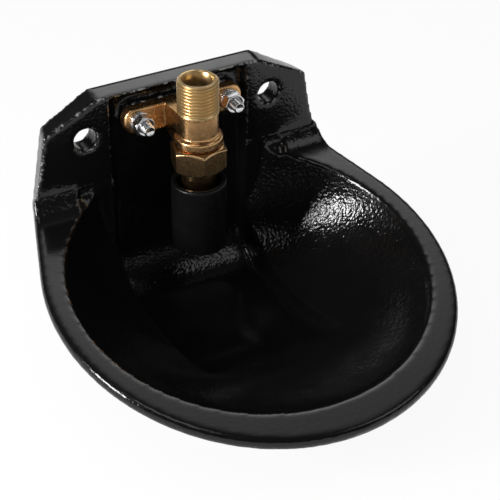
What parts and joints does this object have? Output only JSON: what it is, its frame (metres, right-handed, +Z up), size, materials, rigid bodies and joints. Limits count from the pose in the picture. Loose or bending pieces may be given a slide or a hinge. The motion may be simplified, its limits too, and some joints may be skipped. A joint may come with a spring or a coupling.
{
  "type": "livestock drinking bowl",
  "caption": "Wall-mounted cast-iron drinking bowl for livestock, with a brass inlet valve that opens when the animal pushes the pipe hanging in it.",
  "frame": {"origin": "midway between the two wall bolts, on the wall's face", "axes": "+Z up, -Y out of the wall, +X to the right as the animal faces the bowl"},
  "size_m": [0.203, 0.1919, 0.1353],
  "materials": {
    "enamelled_iron": "glossy black enamel over sand-cast iron",
    "brass": "cast and turned, satin",
    "turned_brass": "turned, slightly dulled",
    "zinc_steel": "bright zinc plate",
    "stainless": "satin",
    "black_pipe": "glossy black",
    "rubber": "matt",
    "nylon": "matt"
  },
  "bodies": {
    "bowl": {"bowl_casting": "enamelled_iron", "valve_body": "brass", "union_nut": "turned_brass", "outlet_spout": "brass", "spout_gasket": "rubber", "seat_ring": "turned_brass", "seat_seal": "rubber", "spring_retainer": "stainless", "retaining_ring": "stainless", "inlet_strainer": "stainless", "return_spring": "stainless", "valve_bolts": "zinc_steel", "valve_nuts": "zinc_steel", "spring_washers": "zinc_steel", "flat_washers": "zinc_steel"},
    "swivel": {"rocker_washer": "nylon"},
    "pipe": {"pipe_hanger": "stainless", "drinking_pipe": "black_pipe", "pipe_bridge": "stainless", "hanger_washer": "stainless", "hanger_nut": "stainless"},
    "poppet": {"poppet": "turned_brass", "poppet_washer": "rubber", "poppet_nut": "turned_brass"}
  },
  "joints": [
    {"name": "pipe_swivel", "type": "hinge", "parent": "bowl", "child": "swivel", "pos_m": [0, -0.032, -0.0142], "axis": [0, 0, 1], "continuous": true},
    {"name": "pipe_tilt", "type": "hinge", "parent": "swivel", "child": "pipe", "pos_m": [0, -0.0398, -0.0142], "axis": [1, 0, 0], "range_deg": [0, 8]},
    {"name": "poppet_lift", "type": "slide", "parent": "bowl", "child": "poppet", "axis": [0, 0, 1], "range_m": [0, 0.0011], "stiffness_N_per_m": 120, "springref_m": -0.005, "deforming": ["return_spring"]}
  ],
  "couplings": [
    {"joint": "poppet_lift", "follows": "pipe_tilt", "m_per_rad": 0.0076}
  ]
}
